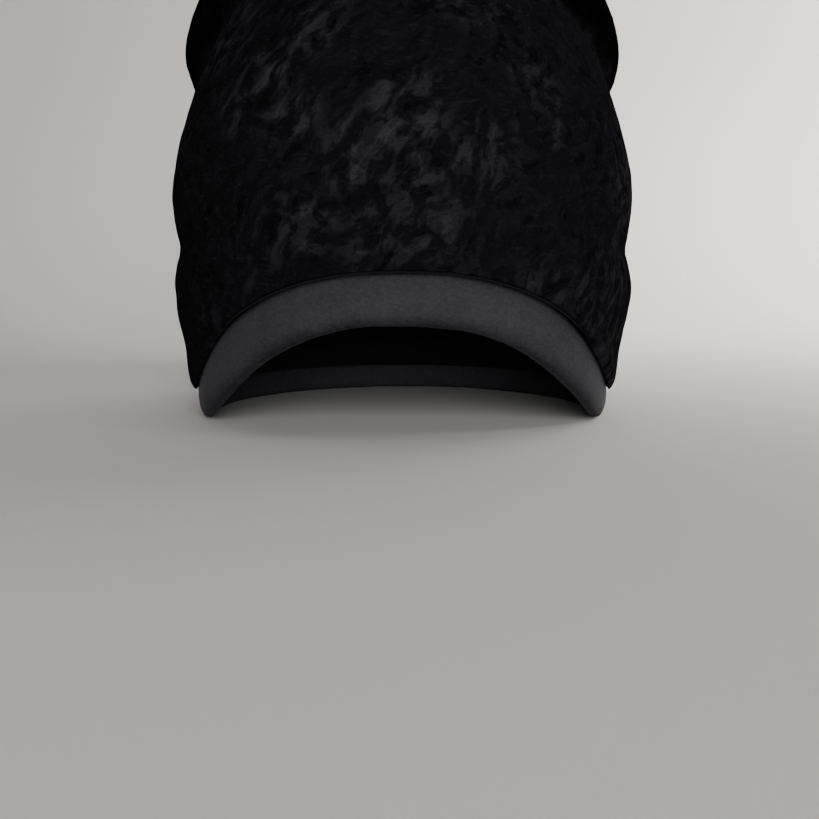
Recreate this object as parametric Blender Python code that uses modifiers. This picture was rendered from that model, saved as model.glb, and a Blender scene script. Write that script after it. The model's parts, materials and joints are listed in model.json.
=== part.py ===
"""A tall slouchy beanie of crushed velvet with a padded jersey band round its rim.

Two sewn pieces: the crown, a hollow cloth shell whose back stands in three stacked
folds, and the band, a padded strip turned in over the crown's lower edge.
Metres, +Z up. The front of the hat faces -Y. The origin is under the middle of the
hat, on the surface that it stands on.
"""

import math
from collections import namedtuple

import bmesh
import bpy
from mathutils import Vector

# Driving sizes of the band. The rim is measured on the band's outer face.
RIM_HALF_WIDTH = 0.0880
RIM_HALF_DEPTH = 0.0970
BAND_HEIGHT = 0.0210
BAND_TURN_IN = 0.0115
BAND_PADDING = 0.0014
LEAF_THICKNESS = 0.0022

# The front of the rim arches clear of the surface, and the rest of it lies flat.
ARCH_RISE = 0.0440
ARCH_HALF_ANGLE = math.radians(82)
ARCH_FLATNESS = 1.2

# Driving sizes of the crown. Its bulges are how far it stands out past the rim.
TOTAL_HEIGHT = 0.2220
SIDE_BULGE = 0.0105
FRONT_BULGE = 0.0065
BACK_BULGE = 0.0250
CROWN_HALF_WIDTH = RIM_HALF_WIDTH + SIDE_BULGE
CROWN_FRONT_REACH = RIM_HALF_DEPTH + FRONT_BULGE
CROWN_BACK_REACH = RIM_HALF_DEPTH + BACK_BULGE
WALL = 0.0026
SEAM_GAP = 0.0004
SEAM_ROLL = 0.0018

# The rim's centre, with the crown reaching equally far to the front and the back of
# the origin. Both pieces are drawn about the rim's centre and placed there.
RIM_CENTRE = (0.0, (CROWN_FRONT_REACH - CROWN_BACK_REACH) / 2, 0.0)

# How finely the cloth is faceted.
FACETS_AROUND = 56
STEPS_BETWEEN_RINGS = 2

# One row for each ring of the crown, from the band up. front, side and back are
# places on the ring: rise is the share of the way from the seam up to the top of the
# hat, reach the share of the crown's reach that way, and side_back how far behind the
# rim's centre the ring is widest, as a share of the back reach. square is the
# exponent of the ring's outline, 2 for an ellipse. A ring turns from its front slope
# to its back slope at the sides, over SIDE_BEND in the cosine of the angle.
SIDE_BEND = 0.2
Ring = namedtuple(
    "Ring",
    "front_rise side_rise back_rise half_width front_reach back_reach side_back square",
)
RINGS = [
    Ring(-0.003, -0.016, -0.012, 0.936, 0.976, 0.828, 0.00, 2.0),
    Ring(0.035, 0.042, 0.050, 0.960, 0.995, 0.873, 0.00, 2.0),
    Ring(0.076, 0.104, 0.104, 0.979, 0.999, 0.906, 0.00, 2.0),
    Ring(0.121, 0.179, 0.169, 0.998, 1.000, 0.926, 0.00, 2.0),
    Ring(0.159, 0.226, 0.219, 0.987, 0.998, 0.902, 0.00, 2.0),
    Ring(0.191, 0.261, 0.251, 0.971, 0.995, 0.864, 0.00, 2.0),
    Ring(0.229, 0.294, 0.284, 0.985, 0.989, 0.904, 0.00, 2.0),
    Ring(0.312, 0.373, 0.363, 1.000, 0.966, 0.943, 0.00, 2.0),
    Ring(0.414, 0.438, 0.433, 0.988, 0.923, 0.934, 0.02, 2.1),
    Ring(0.535, 0.495, 0.483, 0.962, 0.845, 0.908, 0.04, 2.2),
    Ring(0.656, 0.532, 0.515, 0.942, 0.729, 0.877, 0.06, 2.3),
    Ring(0.752, 0.550, 0.532, 0.928, 0.604, 0.857, 0.08, 2.4),
    Ring(0.822, 0.564, 0.547, 0.916, 0.493, 0.844, 0.10, 2.5),
    Ring(0.860, 0.579, 0.567, 0.954, 0.420, 0.881, 0.14, 2.5),
    Ring(0.898, 0.604, 0.602, 0.993, 0.333, 0.943, 0.18, 2.5),
    Ring(0.933, 0.644, 0.657, 0.989, 0.237, 0.992, 0.22, 2.4),
    Ring(0.962, 0.716, 0.741, 0.957, 0.121, 1.000, 0.26, 2.3),
    Ring(0.984, 0.801, 0.831, 0.893, -0.014, 0.951, 0.31, 2.2),
    Ring(0.996, 0.886, 0.905, 0.761, -0.145, 0.844, 0.36, 2.1),
    Ring(0.999, 0.955, 0.960, 0.538, -0.266, 0.672, 0.40, 2.0),
    Ring(1.000, 0.990, 0.990, 0.264, -0.372, 0.508, 0.41, 2.0),
]
APEX_BACK = 0.41

VELVET = ("crushed_velvet", (0.010, 0.010, 0.012, 1.0), 0.75)
JERSEY = ("band_jersey", (0.040, 0.040, 0.046, 1.0), 0.85)


def clear_scene():
    for obj in list(bpy.data.objects):
        bpy.data.objects.remove(obj, do_unlink=True)


def collection(name):
    made = bpy.data.collections.new(name)
    bpy.context.scene.collection.children.link(made)
    return made


def cloth_material(name, colour, roughness):
    material = bpy.data.materials.new(name)
    material.use_nodes = True
    shader = material.node_tree.nodes["Principled BSDF"]
    shader.inputs["Base Color"].default_value = colour
    shader.inputs["Roughness"].default_value = roughness
    shader.inputs["Metallic"].default_value = 0.0
    return material


def azimuths():
    """Angles round the hat, from its front towards +X."""
    return [2 * math.pi * i / FACETS_AROUND for i in range(FACETS_AROUND)]


def outline(angle, half_width, front_y, side_y, back_y, square=2.0):
    """A point on a ring seen from above, widest at side_y."""
    sine, cosine = math.sin(angle), math.cos(angle)
    across = math.copysign(abs(sine) ** (2 / square), sine)
    along = abs(cosine) ** (2 / square)
    end_y = front_y if cosine > 0 else back_y
    return half_width * across, side_y + (end_y - side_y) * along


def arch(angle):
    """How far the rim stands off the surface at this angle from the front."""
    from_front = abs(math.remainder(angle, 2 * math.pi))
    if from_front >= ARCH_HALF_ANGLE:
        return 0.0
    share = (from_front / ARCH_HALF_ANGLE) ** ARCH_FLATNESS
    return ARCH_RISE * (1 + math.cos(math.pi * share)) / 2


def rim_point(angle, inset=0.0):
    """The rim's lowest outer line, or a line that far inside it."""
    depth = RIM_HALF_DEPTH - inset
    x, y = outline(angle, RIM_HALF_WIDTH - inset, -depth, 0.0, depth)
    return Vector((x, y, arch(angle)))


def band_up(angle):
    """The direction of the band's height, square to the rim's run."""
    step = 2 * math.pi / FACETS_AROUND
    run = (rim_point(angle + step) - rim_point(angle - step)).normalized()
    up = Vector((0, 0, 1))
    return (up - run * up.dot(run)).normalized()


def band_point(angle, inset, height):
    return rim_point(angle, inset) + band_up(angle) * height


def ring_point(ring, angle):
    x, y = outline(
        angle,
        ring.half_width * CROWN_HALF_WIDTH,
        -ring.front_reach * CROWN_FRONT_REACH,
        ring.side_back * CROWN_BACK_REACH,
        ring.back_reach * CROWN_BACK_REACH,
        ring.square,
    )
    cosine = math.cos(angle)
    end_rise = ring.front_rise if cosine > 0 else ring.back_rise
    bend = math.hypot(cosine, SIDE_BEND) - SIDE_BEND
    whole_bend = math.hypot(1, SIDE_BEND) - SIDE_BEND
    rise = ring.side_rise + (end_rise - ring.side_rise) * bend / whole_bend
    seam = arch(angle) + BAND_HEIGHT
    return Vector((x, y, seam + rise * (TOTAL_HEIGHT - seam)))


def between(before, start, end, after, share):
    """Catmull-Rom spline from start to end."""
    slope_in = (end - before) / 2
    slope_out = (after - start) / 2
    return (
        start * (1 - 3 * share**2 + 2 * share**3)
        + end * (3 * share**2 - 2 * share**3)
        + slope_in * (share - 2 * share**2 + share**3)
        + slope_out * (share**3 - share**2)
    )


def crown_line(angle):
    """The outer face of the crown from its hidden lower edge up to the last ring."""
    inset = LEAF_THICKNESS + SEAM_GAP
    tucked = [
        band_point(angle, inset, BAND_TURN_IN + SEAM_GAP),
        band_point(angle, inset, BAND_HEIGHT + SEAM_ROLL),
    ]
    knots = [ring_point(ring, angle) for ring in RINGS]
    apex = Vector((0, APEX_BACK * CROWN_BACK_REACH, TOTAL_HEIGHT))
    before = [tucked[-1]] + knots[:-1]
    after = knots[1:] + [apex]
    line = tucked + knots[:1]
    for i in range(1, len(knots)):
        for step in range(1, STEPS_BETWEEN_RINGS + 1):
            share = step / STEPS_BETWEEN_RINGS
            line.append(between(before[i - 1], knots[i - 1], knots[i], after[i], share))
    return line


def crown(into, material):
    """The velvet shell: an open lofted surface, given its wall by Solidify."""
    lines = [crown_line(angle) for angle in azimuths()]
    shell = bmesh.new()
    grid = [[shell.verts.new(point) for point in line] for line in lines]
    for i, line in enumerate(grid):
        beside = grid[(i + 1) % len(grid)]
        for j in range(len(line) - 1):
            shell.faces.new((line[j], beside[j], beside[j + 1], line[j + 1]))
    apex = shell.verts.new((0, APEX_BACK * CROWN_BACK_REACH, TOTAL_HEIGHT))
    for i, line in enumerate(grid):
        shell.faces.new((line[-1], grid[(i + 1) % len(grid)][-1], apex))
    bmesh.ops.recalc_face_normals(shell, faces=shell.faces)
    mesh = bpy.data.meshes.new("velvet_crown")
    shell.to_mesh(mesh)
    shell.free()
    mesh.shade_smooth()
    mesh.materials.append(material)
    obj = bpy.data.objects.new("velvet_crown", mesh)
    obj.location = RIM_CENTRE
    into.objects.link(obj)
    wall = obj.modifiers.new("cloth wall", "SOLIDIFY")
    wall.thickness = WALL
    wall.offset = -1
    return obj


def band_profile():
    """The band's section: inset from the rim's outer line, and height. It lies flat on
    a foot, and its leaf covers the seam outside."""
    ledge = LEAF_THICKNESS + SEAM_GAP + WALL
    foot_outer, foot_inner = 0.25 * ledge, 0.80 * ledge
    return [
        (ledge + 0.45 * BAND_PADDING, 0.25 * BAND_TURN_IN),
        (ledge + 0.60 * BAND_PADDING, 0.66 * BAND_TURN_IN),
        (ledge, BAND_TURN_IN),
        (LEAF_THICKNESS, BAND_TURN_IN),
        (LEAF_THICKNESS, 0.95 * BAND_HEIGHT),
        (0.50 * LEAF_THICKNESS, BAND_HEIGHT),
        (0.10 * LEAF_THICKNESS, 0.92 * BAND_HEIGHT),
        (-0.75 * BAND_PADDING, 0.72 * BAND_HEIGHT),
        (-1.00 * BAND_PADDING, 0.50 * BAND_HEIGHT),
        (-0.90 * BAND_PADDING, 0.28 * BAND_HEIGHT),
        (-0.30 * BAND_PADDING, 0.10 * BAND_HEIGHT),
        (foot_outer, 0.0),
        (foot_inner, 0.0),
    ]


def closed_spline(name, points):
    data = bpy.data.curves.new(name, "CURVE")
    data.dimensions = "3D"
    spline = data.splines.new("POLY")
    spline.points.add(len(points) - 1)
    for knot, point in zip(spline.points, points):
        knot.co = (*point, 1.0)
    spline.use_cyclic_u = True
    return bpy.data.objects.new(name, data)


def band(into, guides, material):
    """The padded jersey band: its section swept round the rim."""
    section = closed_spline(
        "band_section", [(-inset, height, 0) for inset, height in band_profile()]
    )
    section.data.dimensions = "2D"
    section.hide_render = True
    section.display_type = "WIRE"
    guides.objects.link(section)
    ring = closed_spline("jersey_band", [rim_point(angle) for angle in azimuths()])
    ring.data.twist_mode = "Z_UP"
    ring.data.bevel_mode = "OBJECT"
    ring.data.bevel_object = section
    ring.data.materials.append(material)
    ring.data.splines[0].use_smooth = True
    ring.location = RIM_CENTRE
    into.objects.link(ring)
    return ring


def main():
    clear_scene()
    beanie = collection("beanie")
    guides = collection("guides")
    crown(beanie, cloth_material(*VELVET))
    band(beanie, guides, cloth_material(*JERSEY))


main()
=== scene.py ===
"""The looks of a tall slouchy beanie: black crushed velvet gathered into a padded
charcoal jersey band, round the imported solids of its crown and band.

Metres, +Z up, the front of the hat towards -Y.
"""

import json
import math
from collections import namedtuple

import bpy
import numpy as np
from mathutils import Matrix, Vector, noise

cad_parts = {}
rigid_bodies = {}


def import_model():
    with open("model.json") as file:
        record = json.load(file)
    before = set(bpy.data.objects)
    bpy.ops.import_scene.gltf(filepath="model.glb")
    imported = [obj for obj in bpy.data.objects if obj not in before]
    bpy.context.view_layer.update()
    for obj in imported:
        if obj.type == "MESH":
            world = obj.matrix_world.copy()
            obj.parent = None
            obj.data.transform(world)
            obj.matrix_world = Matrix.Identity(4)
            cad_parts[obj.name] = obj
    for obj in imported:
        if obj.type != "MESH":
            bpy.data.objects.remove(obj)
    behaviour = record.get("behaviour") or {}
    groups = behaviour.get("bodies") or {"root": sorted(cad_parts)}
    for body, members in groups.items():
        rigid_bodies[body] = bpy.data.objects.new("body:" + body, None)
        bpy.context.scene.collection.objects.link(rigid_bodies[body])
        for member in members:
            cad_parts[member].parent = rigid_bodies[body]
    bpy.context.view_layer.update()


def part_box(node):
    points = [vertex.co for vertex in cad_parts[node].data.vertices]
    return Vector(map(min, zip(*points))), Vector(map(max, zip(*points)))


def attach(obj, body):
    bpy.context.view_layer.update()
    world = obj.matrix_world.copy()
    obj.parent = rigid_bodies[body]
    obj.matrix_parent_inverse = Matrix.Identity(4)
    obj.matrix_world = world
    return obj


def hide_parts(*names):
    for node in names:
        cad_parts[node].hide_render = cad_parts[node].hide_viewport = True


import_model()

# Sizes and places taken from the frame.
BAND_LOW, BAND_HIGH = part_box("jersey_band")
CROWN_LOW, CROWN_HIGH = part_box("velvet_crown")
RIM_CENTRE_Y = (BAND_LOW.y + BAND_HIGH.y) / 2
PADDING = 0.0014
RIM_HALF_WIDTH = (BAND_HIGH.x - BAND_LOW.x) / 2 - PADDING
RIM_HALF_DEPTH = (BAND_HIGH.y - BAND_LOW.y) / 2 - PADDING
BAND_HEIGHT = 0.0210
ARCH_RISE = BAND_HIGH.z - BAND_HEIGHT
ARCH_HALF_ANGLE = math.radians(82)
ARCH_FLATNESS = 1.2
TOP = CROWN_HIGH.z
CROWN_HALF_WIDTH = (CROWN_HIGH.x - CROWN_LOW.x) / 2
FRONT_REACH = RIM_CENTRE_Y - CROWN_LOW.y
BACK_REACH = CROWN_HIGH.y - RIM_CENTRE_Y
TURN_IN = 0.0115
LEAF = 0.0022
SEAM_GAP = 0.0004
SEAM_ROLL = 0.0018
CLOTH = 0.0022

# The crown's rings above the band, as shares of the sizes above. front, side and back
# are places on the ring: rise is the share of the way from the seam to the top, reach
# the share of the crown's reach that way, and side_back how far behind the rim's
# centre the ring is widest. square is the exponent of its outline. Below the upper
# crease the outlines are rounder than the solid's, so that the bag of cloth stands out
# behind the dome.
SIDE_BEND = 0.2
COLUMNS = (
    "front_rise", "side_rise", "back_rise", "half_width",
    "front_reach", "back_reach", "side_back", "square",
)
RINGS = [
    (0.035, 0.042, 0.050, 0.960, 0.995, 0.873, 0.00, 2.0),
    (0.076, 0.104, 0.104, 0.979, 0.999, 0.906, 0.00, 2.0),
    (0.121, 0.179, 0.169, 0.998, 1.000, 0.926, 0.00, 2.0),
    (0.159, 0.226, 0.219, 0.987, 0.998, 0.902, 0.00, 2.0),
    (0.191, 0.261, 0.251, 0.971, 0.995, 0.864, 0.00, 2.0),
    (0.229, 0.294, 0.284, 0.985, 0.989, 0.904, 0.00, 2.0),
    (0.312, 0.373, 0.363, 1.000, 0.966, 0.943, 0.00, 2.0),
    (0.414, 0.438, 0.433, 0.988, 0.923, 0.934, 0.02, 2.05),
    (0.535, 0.495, 0.483, 0.962, 0.845, 0.908, 0.04, 1.95),
    (0.656, 0.532, 0.515, 0.942, 0.729, 0.877, 0.06, 1.85),
    (0.752, 0.550, 0.532, 0.928, 0.604, 0.857, 0.08, 1.82),
    (0.822, 0.564, 0.547, 0.916, 0.493, 0.844, 0.10, 1.78),
    (0.860, 0.579, 0.567, 0.954, 0.420, 0.881, 0.14, 2.15),
    (0.898, 0.604, 0.602, 0.993, 0.333, 0.943, 0.18, 2.5),
    (0.933, 0.644, 0.657, 0.989, 0.237, 0.992, 0.22, 2.4),
    (0.962, 0.716, 0.741, 0.957, 0.121, 1.000, 0.26, 2.3),
    (0.984, 0.801, 0.831, 0.893, -0.014, 0.951, 0.31, 2.2),
    (0.996, 0.886, 0.905, 0.761, -0.145, 0.844, 0.36, 2.1),
    (0.999, 0.955, 0.960, 0.538, -0.266, 0.672, 0.40, 2.0),
    (1.000, 0.990, 0.990, 0.264, -0.372, 0.508, 0.41, 2.0),
]
APEX_BACK = 0.41

# Angles below are in radians from the front, each pair the start and the width of a
# change. Levels are heights counted in rings, from 0 at the top of the skirt.

# The velvet's skirt over the band: how far it hangs at the front, how much more at the
# sides, and how much of that is gone again at the back. Each line of it, going out
# and back up, is given by how far it stands out from the rim, its share of the hang,
# and its lift above that.
HANG_FRONT = 0.0012
HANG_MORE = 0.0085
HANG_LOST = 0.5
SIDE_ANGLES = (0.55, 0.95)
BACK_ANGLES = (1.90, 0.90)
SKIRT = (
    (0.0019, 0.35, 0.0),
    (0.0022, 0.96, 0.0),
    (0.0039, 0.84, 0.0),
    (0.0054, 0.40, 0.0004),
)
SHELL = 0.0016

# The grid that the cloth is simulated on: points round it, and rows between two rings.
AROUND = 144
STEPS = 3

# What of the cloth is free: what is above a level, beyond an angle and off the apex.
FREE_LEVEL = 2.5
FREE_ANGLES = (0.85, 0.80)
FREE_RADIUS = 0.035
# How uneven the slack is, and the noise that starts the folds.
SLACK_MEAN = 0.7
SLACK_CHANGE = 0.6
SLACK_SIZE = 0.05
SLACK_SEED = 31
JITTER = 0.0012
JITTER_SIZE = 0.022
JITTER_STRETCH = (1, 1, 1.4)
JITTER_SEED = 33
# The simulation. It runs on the crown made ten times as large, where it is steady, and
# the loosest cloth is a tenth too large.
CLOTH_SCALE = 10.0
CLOTH_FRAMES = 24
CLOTH_REACH = 0.016
CLOTH_GRAVITY = 0.5
CLOTH_SETTINGS = {
    "quality": 6,
    "mass": 0.3,
    "air_damping": 2.0,
    "tension_stiffness": 20,
    "compression_stiffness": 20,
    "shear_stiffness": 8,
    "bending_stiffness": 2.0,
    "vertex_group_mass": "held",
    "vertex_group_shrink": "loose",
    "shrink_min": 0.0,
    "shrink_max": -0.10,
    "use_pressure": True,
    "uniform_pressure_force": 0.5,
}

# Gathers near the seam, fewer at the front, and the crush of the pile.
GATHER_DEPTH = 0.0011
GATHER_SPACING = 0.013
GATHER_STRETCH = (1, 1, 0.16)
GATHER_LEVEL = 1.2
GATHER_SPREAD = 1.7
GATHER_FRONT = 0.35
GATHER_ANGLES = (0.9, 0.7)
GATHER_SEED = 1
CRUSH_DEPTH = 0.00020
CRUSH_SIZE = 0.006
CRUSH_SEED = 17
RELIEF_LEVELS = (-1.0, 2.5)

VALLEY_SLOPE = 3.2
VALLEY_POWER = 1.5
SEED_SHIFT = (7.31, 3.17, 5.93)
TINY = 1e-12


def link(obj):
    bpy.context.scene.collection.objects.link(obj)
    return obj


def baked(obj):
    """The mesh of an object with its modifiers applied. The object itself goes."""
    graph = bpy.context.evaluated_depsgraph_get()
    graph.update()
    mesh = bpy.data.meshes.new_from_object(obj.evaluated_get(graph))
    bpy.data.objects.remove(obj, do_unlink=True)
    return mesh


def ramp(value, start, width):
    """0 up to start, and 1 from start + width on, with soft ends."""
    share = np.clip((value - start) / width, 0, 1)
    return share * share * (3 - 2 * share)


def off_front(angle):
    """How far an angle is from the front, either way round."""
    return np.abs((angle + math.pi) % (2 * math.pi) - math.pi)


def front_share(angle, angles):
    """0 from the front to where the angles start, and 1 beyond them."""
    return ramp(off_front(angle), *angles)


def arch(angle):
    """Height of the rim's lower edge at each angle from the front."""
    share = np.clip(off_front(angle) / ARCH_HALF_ANGLE, 0, 1) ** ARCH_FLATNESS
    return ARCH_RISE * (1 + np.cos(math.pi * share)) / 2


def rim(angle, inset):
    """The rim's lower outer line, moved in by inset."""
    x = (RIM_HALF_WIDTH - inset) * np.sin(angle)
    y = RIM_CENTRE_Y - (RIM_HALF_DEPTH - inset) * np.cos(angle)
    return np.stack([x, y, arch(angle)], axis=-1)


def band_up(angle):
    """The direction of the band's height, square to the rim's run."""
    step = 0.01
    run = rim(angle + step, 0) - rim(angle - step, 0)
    run /= np.linalg.norm(run, axis=-1, keepdims=True)
    up = np.array([0, 0, 1]) - run * run[..., 2:3]
    return up / np.linalg.norm(up, axis=-1, keepdims=True)


def ring_points(row, angle):
    """Points of one ring of the table, a superellipse whose ends rise or fall."""
    ring = dict(zip(COLUMNS, row))
    sine, cosine = np.sin(angle), np.cos(angle)
    across = np.sign(sine) * np.abs(sine) ** (2 / ring["square"])
    along = np.abs(cosine) ** (2 / ring["square"])
    front = cosine > 0
    side_y = ring["side_back"] * BACK_REACH
    end_y = np.where(front, -ring["front_reach"] * FRONT_REACH, ring["back_reach"] * BACK_REACH)
    x = ring["half_width"] * CROWN_HALF_WIDTH * across
    y = RIM_CENTRE_Y + side_y + (end_y - side_y) * along
    end_rise = np.where(front, ring["front_rise"], ring["back_rise"])
    bend = (np.hypot(cosine, SIDE_BEND) - SIDE_BEND) / (math.hypot(1, SIDE_BEND) - SIDE_BEND)
    rise = ring["side_rise"] + (end_rise - ring["side_rise"]) * bend
    seam = arch(angle) + BAND_HEIGHT
    return np.stack([x, y, seam + rise * (TOP - seam)], axis=-1)


def between(before, start, end, after, share):
    """Catmull-Rom spline from start to end."""
    slope_in, slope_out = (end - before) / 2, (after - start) / 2
    return (
        start * (1 - 3 * share**2 + 2 * share**3)
        + end * (3 * share**2 - 2 * share**3)
        + slope_in * (share - 2 * share**2 + share**3)
        + slope_out * (share**3 - share**2)
    )


def droop(angle):
    """How far the crown's lower edge hangs over the band: least at the front, most at
    the sides."""
    side = front_share(angle, SIDE_ANGLES)
    back = front_share(angle, BACK_ANGLES)
    return HANG_FRONT + HANG_MORE * side * (1 - HANG_LOST * back)


def crown_grid():
    """Points of the crown's outer face: rows up from the hidden edge, and the height of
    each row counted in rings."""
    angle = np.arange(AROUND) * 2 * math.pi / AROUND
    up = band_up(angle)
    hang = up * droop(angle)[:, None]
    seam = up * BAND_HEIGHT
    knots = [
        rim(angle, LEAF + SEAM_GAP) + up * (TURN_IN + SEAM_GAP),
        rim(angle, LEAF + SEAM_GAP) + seam + up * SEAM_ROLL,
    ]
    for out, share, lift in SKIRT:
        knots.append(rim(angle, -out) + seam - hang * share + up * lift)
    below = len(knots) - 1
    knots += [ring_points(row, angle) for row in RINGS]
    apex = np.array([0, RIM_CENTRE_Y + APEX_BACK * BACK_REACH, TOP])
    knots.append(np.broadcast_to(apex, knots[0].shape))
    rows, level = [knots[0]], [-float(below)]
    last = len(knots) - 1
    for i in range(last):
        before, after = knots[max(i - 1, 0)], knots[min(i + 2, last)]
        for step in range(1, STEPS + 1):
            if i == last - 1 and step == STEPS:
                break
            rows.append(between(before, knots[i], knots[i + 1], after, step / STEPS))
            level.append(i - below + step / STEPS)
    return angle, np.array(rows), np.array(level), apex


def grid_normals(rows):
    """Outward normals of a grid of points that closes round its second axis."""
    across = np.roll(rows, -1, axis=1) - np.roll(rows, 1, axis=1)
    upward = np.gradient(rows, axis=0)
    normal = np.cross(across, upward)
    return normal / np.maximum(np.linalg.norm(normal, axis=-1, keepdims=True), TINY)


def smooth_noise(points, size, seed):
    """Noise from -1 to 1 over points, with features about size across."""
    shift = Vector([seed * step for step in SEED_SHIFT])
    flat = points.reshape(-1, 3) / size
    values = [noise.noise(Vector(p) + shift) for p in flat]
    return np.array(values).reshape(points.shape[:-1])


def grid_mesh(name, rows, apex):
    """Quads between rows, closed round, with a fan to the apex."""
    count, around = rows.shape[:2]
    points = [tuple(p) for p in rows.reshape(-1, 3)] + [tuple(apex)]
    faces = []
    for low in range(0, (count - 1) * around, around):
        high = low + around
        for i in range(around):
            beside = (i + 1) % around
            faces.append((low + i, low + beside, high + beside, high + i))
    top = (count - 1) * around
    faces += [(top + i, top + (i + 1) % around, count * around) for i in range(around)]
    mesh = bpy.data.meshes.new(name)
    mesh.from_pydata(points, [], faces)
    mesh.update()
    mesh.shade_smooth()
    return mesh


def valleys(points, size, seed):
    """Narrow lines, 1 in the middle of each, that wander about size apart."""
    height = 1 - VALLEY_SLOPE * np.abs(smooth_noise(points, size, seed))
    return np.clip(height, 0, 1) ** VALLEY_POWER


def crown_relief(angle, rows, level):
    """How far each point of the crown stands out or in: gathers and crushed pile."""
    level = level[:, None]
    side = front_share(angle, GATHER_ANGLES)[None, :]
    share = GATHER_FRONT + (1 - GATHER_FRONT) * side
    near_seam = np.exp(-(((level - GATHER_LEVEL) / GATHER_SPREAD) ** 2))
    gathers = valleys(rows * GATHER_STRETCH, GATHER_SPACING, GATHER_SEED) * share
    crush = smooth_noise(rows, CRUSH_SIZE, CRUSH_SEED)
    relief = CRUSH_DEPTH * crush - GATHER_DEPTH * near_seam * gathers
    return relief * ramp(level, *RELIEF_LEVELS)


def freedom(angle, rows, level, apex):
    """How free each point of the slack cloth is, 0 to 1. The lower edge and the front
    that faces the camera are held, and the share grows from 0 at the apex, where the
    held front and the free back meet."""
    above_edge = ramp(level, 0, FREE_LEVEL)[:, None]
    beyond_front = front_share(angle, FREE_ANGLES)[None, :]
    from_apex = np.linalg.norm((rows - apex)[..., :2], axis=-1)
    return above_edge * beyond_front * ramp(from_apex, 0, FREE_RADIUS)


def slack_cloth(rows, free, apex):
    """The object that is simulated, with groups for how each point is held and how
    much too large its cloth is."""
    uneven = SLACK_MEAN + SLACK_CHANGE * smooth_noise(rows, SLACK_SIZE, SLACK_SEED)
    slack = np.clip(free * uneven, 0, 1)
    jitter = JITTER * free * smooth_noise(rows * JITTER_STRETCH, JITTER_SIZE, JITTER_SEED)
    start = rows + grid_normals(rows) * jitter[..., None]
    mesh = grid_mesh("slack_cloth", start * CLOTH_SCALE, apex * CLOTH_SCALE)
    obj = link(bpy.data.objects.new("slack_cloth", mesh))
    held = obj.vertex_groups.new(name="held")
    loose = obj.vertex_groups.new(name="loose")
    for i, (share, more) in enumerate(zip(free.ravel(), slack.ravel())):
        held.add([i], 1 - float(share), "REPLACE")
        loose.add([i], float(more), "REPLACE")
    return obj


def set_cloth(obj):
    """Adds the Cloth modifier and its settings. Nothing is there to collide with."""
    cloth = obj.modifiers.new("cloth", "CLOTH")
    for key, value in CLOTH_SETTINGS.items():
        setattr(cloth.settings, key, value)
    cloth.settings.effector_weights.gravity = CLOTH_GRAVITY
    cloth.collision_settings.use_collision = False
    cloth.collision_settings.use_self_collision = False
    cloth.point_cache.frame_end = CLOTH_FRAMES


def draped(angle, rows, level, apex):
    """The rows after the slack cloth at the sides and back has been let go in a short
    simulation, in which no point goes further than CLOTH_REACH."""
    free = freedom(angle, rows, level, apex)
    obj = slack_cloth(rows, free, apex)
    set_cloth(obj)
    scene = bpy.context.scene
    for frame_number in range(1, CLOTH_FRAMES + 1):
        scene.frame_set(frame_number)
    mesh = baked(obj)
    after = np.empty(3 * len(mesh.vertices))
    mesh.vertices.foreach_get("co", after)
    scene.frame_set(1)
    after = after.reshape(-1, 3)[:-1].reshape(rows.shape) / CLOTH_SCALE
    moved = after - rows
    far = np.maximum(np.linalg.norm(moved, axis=-1, keepdims=True), TINY)
    moved *= CLOTH_REACH * np.tanh(far / CLOTH_REACH) / far
    return rows + moved * (free[..., None] > 0)


def halfway(before, start, end, after):
    """The middle of the smooth curve from start to end."""
    return (9 * (start + end) - before - after) / 16


def finer(rows, level, apex):
    """The grid with a row and a column more between each two."""
    half = rows.shape[1] // 2
    pole = np.broadcast_to(apex, rows[:1].shape)
    beyond = np.roll(rows[-1:], half, axis=1)
    first = 2 * rows[:1] - rows[1:2]
    line = np.concatenate([first, rows, pole, beyond])
    between_rows = halfway(line[:-3], line[1:-2], line[2:-1], line[3:])
    tall = np.empty((2 * len(rows), rows.shape[1], 3))
    tall[0::2] = rows
    tall[1::2] = between_rows
    wide = np.empty((len(tall), 2 * rows.shape[1], 3))
    wide[:, 0::2] = tall
    wide[:, 1::2] = halfway(*(np.roll(tall, -k, axis=1) for k in (-1, 0, 1, 2)))
    levels = np.repeat(level, 2) + np.tile([0.0, 0.5 / STEPS], len(level))
    angle = np.arange(wide.shape[1]) * 2 * math.pi / wide.shape[1]
    return angle, wide, levels


def crown():
    """The velvet shell: a draped grid, made finer, with relief and a thickness."""
    angle, rows, level, apex = crown_grid()
    rows = draped(angle, rows, level, apex)
    angle, rows, level = finer(rows, level, apex)
    rows = rows + grid_normals(rows) * crown_relief(angle, rows, level)[..., None]
    mesh = grid_mesh("crown_cloth", rows, apex)
    obj = link(bpy.data.objects.new("crown_cloth", mesh))
    mesh.materials.append(velvet_face())
    mesh.materials.append(velvet_back())
    wall = obj.modifiers.new("wall", "SOLIDIFY")
    wall.thickness = SHELL
    wall.offset = -1
    wall.material_offset = 1
    wall.material_offset_rim = 1
    return link(bpy.data.objects.new("crown_cloth", baked(obj)))


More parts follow.
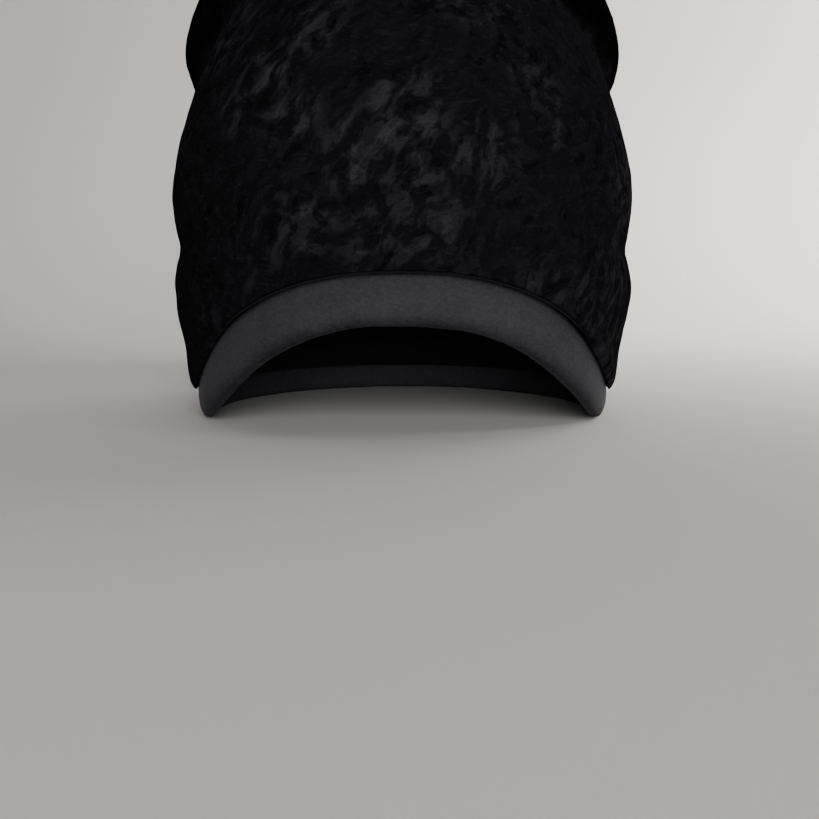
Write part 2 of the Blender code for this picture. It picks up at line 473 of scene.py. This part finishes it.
class Socket:
    """A node's socket, which Python's operators add Math nodes to."""

    def __init__(self, tree, socket):
        self.tree = tree
        self.socket = socket

    def math(self, operation, *others):
        node = self.tree.nodes.new("ShaderNodeMath")
        node.operation = operation
        for slot, value in zip(node.inputs, (self, *others)):
            put(self.tree, slot, value)
        return Socket(self.tree, node.outputs[0])

    def __add__(self, other):
        return self.math("ADD", other)

    def __sub__(self, other):
        return self.math("SUBTRACT", other)

    def __mul__(self, other):
        return self.math("MULTIPLY", other)

    def __truediv__(self, other):
        return self.math("DIVIDE", other)

    def __rsub__(self, other):
        return (self * -1.0) + other

    __radd__ = __add__
    __rmul__ = __mul__

    def step(self, low, high):
        """0 below low and 1 above high, with a soft change between."""
        node = self.tree.nodes.new("ShaderNodeMapRange")
        node.interpolation_type = "SMOOTHSTEP"
        put(self.tree, node.inputs["Value"], self)
        node.inputs["From Min"].default_value = low
        node.inputs["From Max"].default_value = high
        return Socket(self.tree, node.outputs["Result"])


def put(tree, slot, value):
    """Links a socket to an input, or sets the input to a value."""
    if isinstance(value, Socket):
        tree.links.new(value.socket, slot)
    else:
        slot.default_value = value


class Nodes:
    """What materials and Geometry Nodes trees share."""

    def node(self, kind, output, settings=(), **inputs):
        """One output of a new node. Its inputs are named with _ for a space."""
        made = self.tree.nodes.new(kind)
        for key, value in dict(settings).items():
            setattr(made, key, value)
        for key, value in inputs.items():
            put(self.tree, made.inputs[key.replace("_", " ")], value)
        return Socket(self.tree, made.outputs[output])

    def vector_math(self, operation, output, *values):
        made = self.tree.nodes.new("ShaderNodeVectorMath")
        made.operation = operation
        for slot, value in zip(made.inputs, values):
            put(self.tree, slot, value)
        return Socket(self.tree, made.outputs[output])

    def parts(self, vector):
        """The X, Y and Z of a vector."""
        made = self.tree.nodes.new("ShaderNodeSeparateXYZ")
        put(self.tree, made.inputs[0], vector)
        return [Socket(self.tree, out) for out in made.outputs]


class Finish(Nodes):
    """A material, with one method for each kind of node that it is made of."""

    def __init__(self, name, **fixed):
        self.material = bpy.data.materials.new(name)
        self.material.use_nodes = True
        self.tree = self.material.node_tree
        self.shader = self.tree.nodes["Principled BSDF"]
        for key, value in fixed.items():
            self.shader.inputs[key.replace("_", " ")].default_value = value

    def place(self):
        return self.node("ShaderNodeTexCoord", "Object")

    def warp(self, at, warp):
        """Coordinates pushed about by noise."""
        push = self.node("ShaderNodeTexNoise", "Color", Vector=at, Scale=warp.scale, Detail=2.0)
        return self.vector_math("MULTIPLY_ADD", "Vector", push, [warp.amount] * 3, at)

    def noise(self, at, scale, detail=2.0, rough=0.5):
        return self.node(
            "ShaderNodeTexNoise", "Fac", Vector=at, Scale=scale, Detail=detail, Roughness=rough,
        )

    def grain(self, at, grain):
        """Noise that leans and is drawn out."""
        at = self.node(
            "ShaderNodeMapping", "Vector", {"vector_type": "TEXTURE"}, Vector=at,
            Rotation=(0, math.radians(grain.lean), 0), Scale=grain.stretch,
        )
        return self.noise(at, grain.scale, grain.detail, grain.rough)

    def blend(self, share, low, high):
        """Low at 0 and high at 1, and further on beyond 1."""
        mix = self.tree.nodes.new("ShaderNodeMix")
        mix.data_type = "RGBA"
        mix.clamp_factor = False
        put(self.tree, mix.inputs[0], share)
        put(self.tree, mix.inputs[6], low)
        put(self.tree, mix.inputs[7], high)
        return Socket(self.tree, mix.outputs[2])

    def bump(self, height, distance, strength=1.0, over=None):
        made = self.tree.nodes.new("ShaderNodeBump")
        made.inputs["Strength"].default_value = strength
        made.inputs["Distance"].default_value = distance
        put(self.tree, made.inputs["Height"], height)
        if over is not None:
            put(self.tree, made.inputs["Normal"], over)
        return Socket(self.tree, made.outputs["Normal"])

    def feed(self, **links):
        for key, value in links.items():
            put(self.tree, self.shader.inputs[key.replace("_", " ")], value)
        return self.material


# Warps: the noise's scale, and how far it pushes. It pushes to one side of each axis,
# by half of that on average.
Warp = namedtuple("Warp", "scale amount")

# Grains: how far each is drawn out along its own axes, how many degrees it leans to the
# right, and the scale, detail and roughness of its noise.
Grain = namedtuple("Grain", "stretch lean scale detail rough")

# Below, a _STEP is where a noise changes from none of what it makes to all of it, a
# _BUMP is a depth and a strength, a _TONE is what a feature adds to the tone or takes
# off it, and _TONES are the colours at tone 0 and at tone 1.

# The velvet's face. Its lighter tones are painted sheen.
EDDIES = Warp(48, 0.015)
RAGGED = Warp(300, 0.0018)
STREAKS = Grain((1.0, 1.0, 2.3), 34, 215, 2, 0.5)
FLAKES = Grain((1.0, 1.2, 2.0), 80, 240, 2, 0.5)
FOLDS = Grain((1.0, 1.0, 2.0), 48, 160, 3, 0.5)
SPECKS = Grain((3.4, 2.4, 1.0), 0, 900, 1, 0.5)
PILE = Grain((1.8, 1.8, 1.0), 0, 1500, 2, 0.5)
ZONE_SCALE = 15
ZONE_STEP = (0.42, 0.54)
SOFT_STEP = (0.45, 0.55)
CRISP_STEP = (0.555, 0.580)
BLOTCH_STEP = (0.37, 0.43)
SPECK_STEP = (0.60, 0.68)
GROUND_TONE = 0.10
SOFT_TONE = 0.04
SOFT_CRUSHED_SHEEN_TONE = 0.15
CRISP_TONE = 0.03
CRISP_CRUSHED_SHEEN_TONE = 0.22
PATCH_SHEEN_TONE = 0.26
SPECK_TONE = 0.11
BLOTCH_TONE = 0.07
PILE_DARKEST = 0.45
PILE_RANGE = 1.1
VELVET_TONES = (0.0021, 0.0020, 0.0024, 1), (0.0285, 0.0272, 0.0310, 1)
LIE_BUMP = (0.0012, 0.30)
PILE_BUMP = (0.00025, 0.30)
SPECK_HEIGHT = 0.6
VELVET_ROUGHNESS = 0.92
CRISP_SHINE = 0.16

# Where its pile is crushed and gets the most painted sheen: in clusters all over, and in
# patches on the front, each given by its middle and its radius. A patch's edge is in
# shares of its radius.
CLUSTERS = Warp(30, 0.02)
CLUSTER_SCALE = 17
CLUSTER_STEP = (0.46, 0.66)
CLUSTER_SHARE = 0.7
DRIFT = Warp(60, 0.012)
DRIFT_MEAN = DRIFT.amount / 2
PATCH_EDGE = (0.45, 1.3)
PATCH_SHARE = 0.75
PATCHES = (
    ((0.002, -0.108, 0.122), 0.015),
    ((-0.013, -0.111, 0.107), 0.015),
    ((0.012, -0.112, 0.105), 0.012),
    ((0.032, -0.108, 0.106), 0.015),
    ((-0.060, -0.088, 0.130), 0.018),
    ((-0.045, -0.095, 0.142), 0.013),
    ((-0.030, -0.090, 0.154), 0.013),
    ((-0.040, -0.101, 0.118), 0.013),
    ((-0.036, -0.108, 0.082), 0.012),
)

# The height of the upper crease at the sides. In front of y 0 it rises by as much as it
# runs forward. Above it, on the bag behind the dome, shade is painted: the base colour is
# darker there, starting and fading by the height above the crease, and fading to the
# back too.
UPPER_CREASE = 0.134
BAG_SHADE_START = (-0.005, 0.005)
BAG_SHADE_FADE = (0.012, 0.042)
BAG_SHADE_BACK = (0.0, 0.06)
BAG_SHADE_SHARE = 0.82
BAG_SHADE_COLOUR = (0.0004, 0.0004, 0.0005, 1)


def crushed_sheen_share(finish, at, drift):
    """How much the pile is crushed, which sets its painted sheen: in clusters all over, and
    most in the patches.
    """
    clusters = finish.noise(finish.warp(at, CLUSTERS), CLUSTER_SCALE)
    crushed = clusters.step(*CLUSTER_STEP) * CLUSTER_SHARE
    for place, radius in PATCHES:
        place = [value + DRIFT_MEAN for value in place]
        far = finish.vector_math("DISTANCE", "Value", drift, place)
        beyond = far.step(*(share * radius for share in PATCH_EDGE))
        crushed = crushed + (1 - beyond) * PATCH_SHARE
    return crushed.math("MINIMUM", 1.0)


def painted_bag_shade(finish, drift):
    """1 where shade is painted on the bag, above the upper crease."""
    _, y, z = finish.parts(drift)
    rise = z + y.math("MINIMUM", DRIFT_MEAN) - UPPER_CREASE - 2 * DRIFT_MEAN
    share = rise.step(*BAG_SHADE_START) * (1 - rise.step(*BAG_SHADE_FADE))
    return share * (1 - y.step(*BAG_SHADE_BACK))


def velvet_face():
    """Crushed velvet: streaks that lean and flakes that lie nearly level, each in its
    own zones, with pale patches, fine specks and dark blotches. The pattern is the
    pile's own, but its lighter tones are painted sheen, strongest where the pile is crushed."""
    finish = Finish(
        "crushed_velvet", Sheen_Weight=0.002, Sheen_Roughness=0.3,
        Sheen_Tint=(0.75, 0.80, 1.0, 1), Specular_IOR_Level=0.0,
    )
    at = finish.place()
    drift = finish.warp(at, DRIFT)
    ragged = finish.warp(finish.warp(at, EDDIES), RAGGED)
    zone = finish.noise(at, ZONE_SCALE, detail=1).step(*ZONE_STEP)
    lie = finish.grain(ragged, STREAKS) * zone + finish.grain(ragged, FLAKES) * (1 - zone)
    folds = finish.grain(ragged, FOLDS)
    crushed = crushed_sheen_share(finish, at, drift)
    soft = lie.step(*SOFT_STEP)
    crisp = lie.step(*CRISP_STEP)
    patch = folds.step(*CRISP_STEP) * crushed
    dark_blotch = 1 - folds.step(*BLOTCH_STEP)
    specks = finish.grain(ragged, SPECKS).step(*SPECK_STEP)
    pile = finish.grain(at, PILE)
    # painted sheen: the pile's pattern in lighter tones, most where it is crushed
    tone = GROUND_TONE + soft * (SOFT_TONE + SOFT_CRUSHED_SHEEN_TONE * crushed)
    tone = tone + crisp * (CRISP_TONE + CRISP_CRUSHED_SHEEN_TONE * crushed)
    tone = tone + patch * PATCH_SHEEN_TONE + specks * SPECK_TONE - dark_blotch * BLOTCH_TONE
    tone = tone * (PILE_DARKEST + PILE_RANGE * pile)
    base = finish.blend(tone, *VELVET_TONES)
    # painted shade: the bag above the upper crease is darkened towards black
    base = finish.blend(painted_bag_shade(finish, drift) * BAG_SHADE_SHARE, base, BAG_SHADE_COLOUR)
    relief = finish.bump(lie, *LIE_BUMP)
    fine = finish.bump(pile + specks * SPECK_HEIGHT, *PILE_BUMP, over=relief)
    roughness = VELVET_ROUGHNESS - crisp * CRISP_SHINE
    return finish.feed(Base_Color=base, Roughness=roughness, Normal=fine)


# The velvet's back.
KNIT = Grain((1.0, 1.0, 0.5), 0, 900, 2, 0.5)
KNIT_TONES = (0.004, 0.004, 0.005, 1), (0.010, 0.010, 0.012, 1)
KNIT_BUMP = (0.0004, 0.4)
KNIT_ROUGHNESS = 0.92


def velvet_back():
    """The plain knitted back of the velvet."""
    finish = Finish("velvet_back", Sheen_Weight=0.02, Specular_IOR_Level=0.1)
    knit = finish.grain(finish.place(), KNIT)
    base = finish.blend(knit, *KNIT_TONES)
    relief = finish.bump(knit, *KNIT_BUMP)
    return finish.feed(Base_Color=base, Roughness=KNIT_ROUGHNESS, Normal=relief)


# The jersey. The painted shade's steps are of how far it faces up, from -1 to 1.
WASH = Warp(60, 0.006)
WASH_SCALE = 42
WASH_STEP = (0.25, 0.75)
WASH_TONE = 0.35
MOTTLE = Grain((1.6, 1.6, 1.0), 0, 900, 3, 0.6)
MOTTLE_STEP = (0.30, 0.70)
MOTTLE_TONE = 0.45
RIB = Grain((1.0, 1.0, 3.0), 0, 1500, 1, 0.5)
FUZZ_SCALE = 2600
FUZZ_TONE = 0.4
FUZZ_HEIGHT = 0.6
FUZZ_SHINE = 0.1
UNDERSIDE_SHADE_STEP = (-0.70, -0.04)
UNDERSIDE_SHADE_TONE = 0.95
TOP_SHADE_STEP = (0.10, 0.60)
TOP_SHADE_TONE = 0.45
JERSEY_TONES = (0.0168, 0.0160, 0.0194, 1), (0.0365, 0.0352, 0.0412, 1)
JERSEY_BUMP = (0.00025, 0.40)
JERSEY_ROUGHNESS = 0.88


def jersey():
    """Charcoal jersey: a wash of tone, mottled and ribbed, with painted shade where it
    faces up or down."""
    finish = Finish(
        "band_jersey", Sheen_Weight=0.03, Sheen_Roughness=0.4,
        Sheen_Tint=(0.8, 0.8, 0.9, 1), Specular_IOR_Level=0.2,
    )
    at = finish.place()
    wash = finish.noise(finish.warp(at, WASH), WASH_SCALE, detail=3).step(*WASH_STEP)
    mottle = finish.grain(at, MOTTLE).step(*MOTTLE_STEP)
    rib = finish.grain(at, RIB)
    fuzz = finish.noise(at, FUZZ_SCALE)
    facing_up = finish.parts(finish.node("ShaderNodeTexCoord", "Normal"))[2]
    # painted shade, on the underside that faces down and on the top that faces up under the
    # velvet's edge
    underside_shade = 1 - facing_up.step(*UNDERSIDE_SHADE_STEP)
    over = facing_up.step(*TOP_SHADE_STEP)
    tone = wash * WASH_TONE + mottle * MOTTLE_TONE + fuzz * FUZZ_TONE
    tone = tone - underside_shade * UNDERSIDE_SHADE_TONE - over * TOP_SHADE_TONE
    base = finish.blend(tone, *JERSEY_TONES)
    weave = finish.bump(rib + fuzz * FUZZ_HEIGHT, *JERSEY_BUMP)
    roughness = JERSEY_ROUGHNESS - fuzz * FUZZ_SHINE
    return finish.feed(Base_Color=base, Roughness=roughness, Normal=weave)


# How finely the band is drawn: places round it, and steps between its section's points.
# Then the scale and detail of the noises that puff and pucker it, and what the second
# one adds to the seed.
BAND_AROUND = 384
SECTION_STEPS = 3
PUFF_NOISE = (32.0, 1.0)
PUCKER_NOISE = (130.0, 2.0)
PUCKER_SEED = 4.0


def band_section():
    """The band's padded section: distance in from the rim's outer line, and height."""
    ledge = LEAF + SEAM_GAP + CLOTH
    return [
        (ledge + 0.10 * PADDING, 0.05 * TURN_IN),
        (ledge + 0.55 * PADDING, 0.30 * TURN_IN),
        (ledge + 0.60 * PADDING, 0.66 * TURN_IN),
        (ledge + 0.30 * PADDING, 0.95 * TURN_IN),
        (ledge, TURN_IN),
        (LEAF, TURN_IN),
        (LEAF, 0.95 * BAND_HEIGHT),
        (0.70 * LEAF, BAND_HEIGHT),
        (0.30 * LEAF, 0.97 * BAND_HEIGHT),
        (-0.10 * LEAF, 0.90 * BAND_HEIGHT),
        (-0.75 * PADDING, 0.76 * BAND_HEIGHT),
        (-1.00 * PADDING, 0.56 * BAND_HEIGHT),
        (-0.95 * PADDING, 0.36 * BAND_HEIGHT),
        (-0.55 * PADDING, 0.19 * BAND_HEIGHT),
        (0.02 * ledge, 0.085 * BAND_HEIGHT),
        (0.22 * ledge, 0.02 * BAND_HEIGHT),
        (0.42 * ledge, 0.0),
        (0.80 * ledge, 0.0),
    ]


def section_curve():
    """The section as a closed curve, rounded between its points. Its Y runs down,
    because the sweep turns it over."""
    section = np.array(band_section())
    count = len(section)
    points = []
    for i in range(count):
        before, start, end, after = (section[(i + k) % count] for k in (-1, 0, 1, 2))
        for step in range(SECTION_STEPS):
            points.append(between(before, start, end, after, step / SECTION_STEPS))
    data = bpy.data.curves.new("band_section", "CURVE")
    data.dimensions = "3D"
    spline = data.splines.new("POLY")
    spline.points.add(len(points) - 1)
    for knot, (inset, height) in zip(spline.points, points):
        knot.co = (-inset, -max(height, 0.0), 0.0, 1.0)
    spline.use_cyclic_u = True
    return data


class Grower(Nodes):
    """A Geometry Nodes tree with named inputs."""

    def __init__(self, name, inputs):
        self.tree = bpy.data.node_groups.new(name, "GeometryNodeTree")
        face = self.tree.interface
        face.new_socket("Geometry", in_out="INPUT", socket_type="NodeSocketGeometry")
        self.ids = {}
        for key in inputs:
            made = face.new_socket(key, in_out="INPUT", socket_type="NodeSocketFloat")
            self.ids[key] = made.identifier
        face.new_socket("Geometry", in_out="OUTPUT", socket_type="NodeSocketGeometry")
        self.inlet = self.tree.nodes.new("NodeGroupInput")
        self.outlet = self.tree.nodes.new("NodeGroupOutput")

    def given(self, key):
        return Socket(self.tree, self.inlet.outputs[key])

    def vector(self, x, y, z):
        return self.node("ShaderNodeCombineXYZ", "Vector", X=x, Y=y, Z=z)

    def noise(self, at, seed, scale, detail):
        """Noise about 0 that changes with its seed."""
        fac = self.node(
            "ShaderNodeTexNoise", "Fac", {"noise_dimensions": "4D"}, Vector=at, W=seed,
            Scale=scale, Detail=detail,
        )
        return fac - 0.5

    def close(self, geometry, material):
        """Ends the tree with the geometry in its material."""
        real = self.node("GeometryNodeRealizeInstances", "Geometry", Geometry=geometry)
        done = self.node(
            "GeometryNodeSetMaterial", "Geometry", Geometry=real, Material=material,
        )
        put(self.tree, self.outlet.inputs["Geometry"], done)


def band_grower(material, inputs):
    """The tree that sweeps the band's section round the rim."""
    grower = Grower("band_sweep", inputs)
    circle = {"mode": "RADIUS"}
    ring = grower.node(
        "GeometryNodeCurvePrimitiveCircle", "Curve", circle, Resolution=BAND_AROUND,
    )
    index = grower.node("GeometryNodeInputIndex", "Index")
    angle = index * (2 * math.pi / BAND_AROUND)
    x = angle.math("SINE") * grower.given("Half Width")
    y = grower.given("Centre") - angle.math("COSINE") * grower.given("Half Depth")
    half_turn = angle.math("WRAP", math.pi, -math.pi).math("ABSOLUTE")
    share = (half_turn / grower.given("Arch Half Angle")).math("MINIMUM", 1.0)
    bent = share.math("POWER", grower.given("Arch Flatness")) * math.pi
    z = (bent.math("COSINE") + 1.0) * grower.given("Arch Rise") * 0.5
    at = grower.vector(x, y, z)
    ring = grower.node("GeometryNodeSetPosition", "Geometry", Geometry=ring, Position=at)
    ring = grower.node("GeometryNodeSetCurveNormal", "Curve", {"mode": "Z_UP"}, Curve=ring)
    section = grower.given("Geometry")
    cloth = grower.node("GeometryNodeCurveToMesh", "Mesh", Curve=ring, Profile_Curve=section)
    # puffs and puckers, none of them below the surface that the hat rests on
    at = grower.node("GeometryNodeInputPosition", "Position")
    seed = grower.given("Seed")
    puff = grower.noise(at, seed, *PUFF_NOISE) * grower.given("Puff")
    pucker = grower.noise(at, seed + PUCKER_SEED, *PUCKER_NOISE) * grower.given("Pucker")
    out = grower.node("GeometryNodeInputNormal", "Normal")
    push = grower.node(
        "ShaderNodeVectorMath", "Vector", {"operation": "SCALE"}, Vector=out,
        Scale=puff + pucker,
    )
    cloth = grower.node("GeometryNodeSetPosition", "Geometry", Geometry=cloth, Offset=push)
    x, y, z = grower.parts(grower.node("GeometryNodeInputPosition", "Position"))
    at = grower.vector(x, y, z.math("MAXIMUM", 0.0))
    cloth = grower.node("GeometryNodeSetPosition", "Geometry", Geometry=cloth, Position=at)
    cloth = grower.node("GeometryNodeSetShadeSmooth", "Geometry", Geometry=cloth)
    grower.close(cloth, material)
    return grower


def band():
    """The padded band, swept round the rim."""
    inputs = {
        "Half Width": RIM_HALF_WIDTH,
        "Half Depth": RIM_HALF_DEPTH,
        "Centre": RIM_CENTRE_Y,
        "Arch Rise": ARCH_RISE,
        "Arch Half Angle": ARCH_HALF_ANGLE,
        "Arch Flatness": ARCH_FLATNESS,
        "Puff": 0.0014,
        "Pucker": 0.0005,
        "Seed": 3.0,
    }
    obj = link(bpy.data.objects.new("band_pad", section_curve()))
    grower = band_grower(jersey(), inputs)
    sweep = obj.modifiers.new("sweep", "NODES")
    sweep.node_group = grower.tree
    for key, value in inputs.items():
        sweep[grower.ids[key]] = value
    return link(bpy.data.objects.new("band_pad", baked(obj)))


# The studio: a floor that curves up into a wall, and its lights.
FLOOR_HALF_WIDTH = 3.0
WALL_Y = 0.55
WALL_HEIGHT = 2.5
SWEEP_RADIUS = 0.25
SWEEP_STEPS = 12
PAINT = (0.60, 0.59, 0.56, 1)
AIR = (0.9, 0.93, 1.0, 1)
AIR_STRENGTH = 0.12
# Sizes are in metres, power in watts and spread in degrees.
Lamp = namedtuple("Lamp", "name place target size power colour spread")
LAMPS = (
    Lamp("window", (0.15, -1.8, 0.50), (0, 0, 0.11), 1.0, 33, (0.98, 0.98, 1.0), 180),
    Lamp("ceiling", (0.1, -0.4, 2.4), (0.0, 0.2, 0.0), 1.6, 7.5, (1.0, 0.99, 0.97), 180),
    Lamp("wall_wash", (1.3, -0.5, 1.2), (0.9, 0.5, 0.2), 0.7, 22, (1.0, 0.98, 0.95), 65),
)

# The photograph's camera: its lens and its frame's width in pixels, how far it is in
# front of the rim's centre, its height, how far it looks down, and its step to the side.
LENS_PX = 1148.0
FRAME_PX = 819.0
SENSOR_MM = 36.0
CAMERA_DISTANCE = 0.510
CAMERA_HEIGHT = 0.0713
CAMERA_DOWN = 7.9
CAMERA_SIDE = 0.003


def add_lamp(lamp):
    """A round lamp that is aimed at its target."""
    data = bpy.data.lights.new(lamp.name, "AREA")
    data.shape = "DISK"
    data.size = lamp.size
    data.energy = lamp.power
    data.color = lamp.colour
    data.spread = math.radians(lamp.spread)
    obj = link(bpy.data.objects.new(lamp.name, data))
    obj.location = lamp.place
    aim = Vector(lamp.target) - Vector(lamp.place)
    obj.rotation_euler = aim.to_track_quat("-Z", "Y").to_euler()


def sweep_profile():
    """The floor, the curve and the wall from the side, as places along Y and Z."""
    turns = [math.radians(90 * step / SWEEP_STEPS) for step in range(SWEEP_STEPS + 1)]
    start = WALL_Y - SWEEP_RADIUS
    curve = [
        (start + SWEEP_RADIUS * math.sin(turn), SWEEP_RADIUS * (1 - math.cos(turn)))
        for turn in turns
    ]
    return [(-FLOOR_HALF_WIDTH, 0.0), *curve, (WALL_Y, WALL_HEIGHT)]


def studio():
    """A pale floor that curves up into a wall, and soft light."""
    profile = sweep_profile()
    points = [(x, y, z) for y, z in profile for x in (-FLOOR_HALF_WIDTH, FLOOR_HALF_WIDTH)]
    faces = [(2 * i, 2 * i + 1, 2 * i + 3, 2 * i + 2) for i in range(len(profile) - 1)]
    mesh = bpy.data.meshes.new("studio_sweep")
    mesh.from_pydata(points, [], faces)
    mesh.shade_smooth()
    paint = Finish("studio_paint", Roughness=0.9, Base_Color=PAINT)
    mesh.materials.append(paint.material)
    link(bpy.data.objects.new("studio_sweep", mesh))

    world = bpy.data.worlds.new("studio_air")
    world.use_nodes = True
    background = world.node_tree.nodes["Background"]
    background.inputs["Color"].default_value = AIR
    background.inputs["Strength"].default_value = AIR_STRENGTH
    bpy.context.scene.world = world
    for lamp in LAMPS:
        add_lamp(lamp)


def camera():
    """The camera, with the photograph's place, tilt and crop."""
    data = bpy.data.cameras.new("photo_view")
    data.sensor_width = SENSOR_MM
    data.lens = SENSOR_MM * LENS_PX / FRAME_PX
    obj = link(bpy.data.objects.new("photo_view", data))
    obj.location = (CAMERA_SIDE, RIM_CENTRE_Y - CAMERA_DISTANCE, CAMERA_HEIGHT)
    obj.rotation_euler = (math.radians(90 - CAMERA_DOWN), 0, 0)
    bpy.context.scene.camera = obj


camera()
studio()

crown_cloth = crown()
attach(crown_cloth, "root")
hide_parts("velvet_crown")

band_pad = band()
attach(band_pad, "root")
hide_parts("jersey_band")
